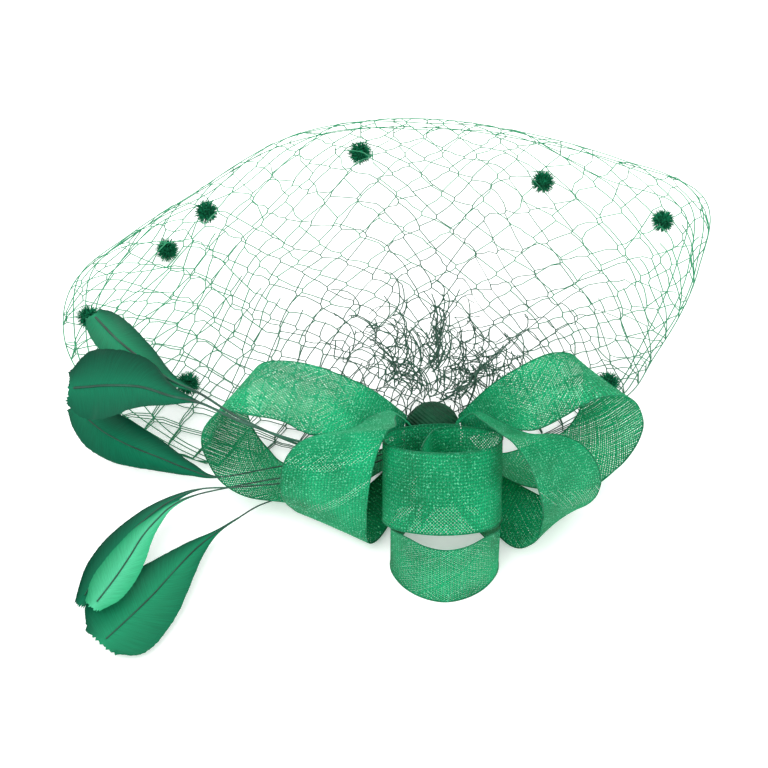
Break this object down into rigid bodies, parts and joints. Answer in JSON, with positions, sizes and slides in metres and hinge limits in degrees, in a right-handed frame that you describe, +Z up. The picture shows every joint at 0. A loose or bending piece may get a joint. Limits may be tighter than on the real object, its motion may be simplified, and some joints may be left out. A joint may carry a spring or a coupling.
{
  "type": "fascinator headpiece",
  "caption": "Green fascinator: a bow of woven crin ribbon loops and a centre roll, a folded net veil with chenille dots, and leaf-shaped feathers on thin quills.",
  "frame": {"origin": "centre of the clip's underside, under the knot", "axes": "+X to the viewer's right, +Y away from the viewer, +Z up from the table"},
  "size_m": [0.2843, 0.2485, 0.0749],
  "materials": {
    "crin": "satin",
    "knot": "satin",
    "net": "matte",
    "dot": "matte",
    "feather_dark": "satin",
    "feather_mid": "satin",
    "feather_light": "satin",
    "steel": "satin"
  },
  "bodies": {
    "root": {"crin_loop_back_left": "crin", "crin_loop_back_right": "crin", "crin_loop_front_left": "crin", "crin_loop_front_right": "crin", "crin_roll": "crin", "crin_loop_lower": "crin", "centre_knot": "knot", "hair_clip": "steel", "chenille_dot_1": "dot", "chenille_dot_2": "dot", "chenille_dot_3": "dot", "chenille_dot_4": "dot", "chenille_dot_5": "dot", "chenille_dot_6": "dot", "chenille_dot_7": "dot", "chenille_dot_8": "dot", "veil": "net", "feather_upper_front": "feather_dark", "feather_upper_back": "feather_mid", "feather_middle": "feather_dark", "feather_lower_outer": "feather_dark", "feather_lower_inner": "feather_light", "feather_lower_right": "feather_mid"}
  },
  "joints": []
}
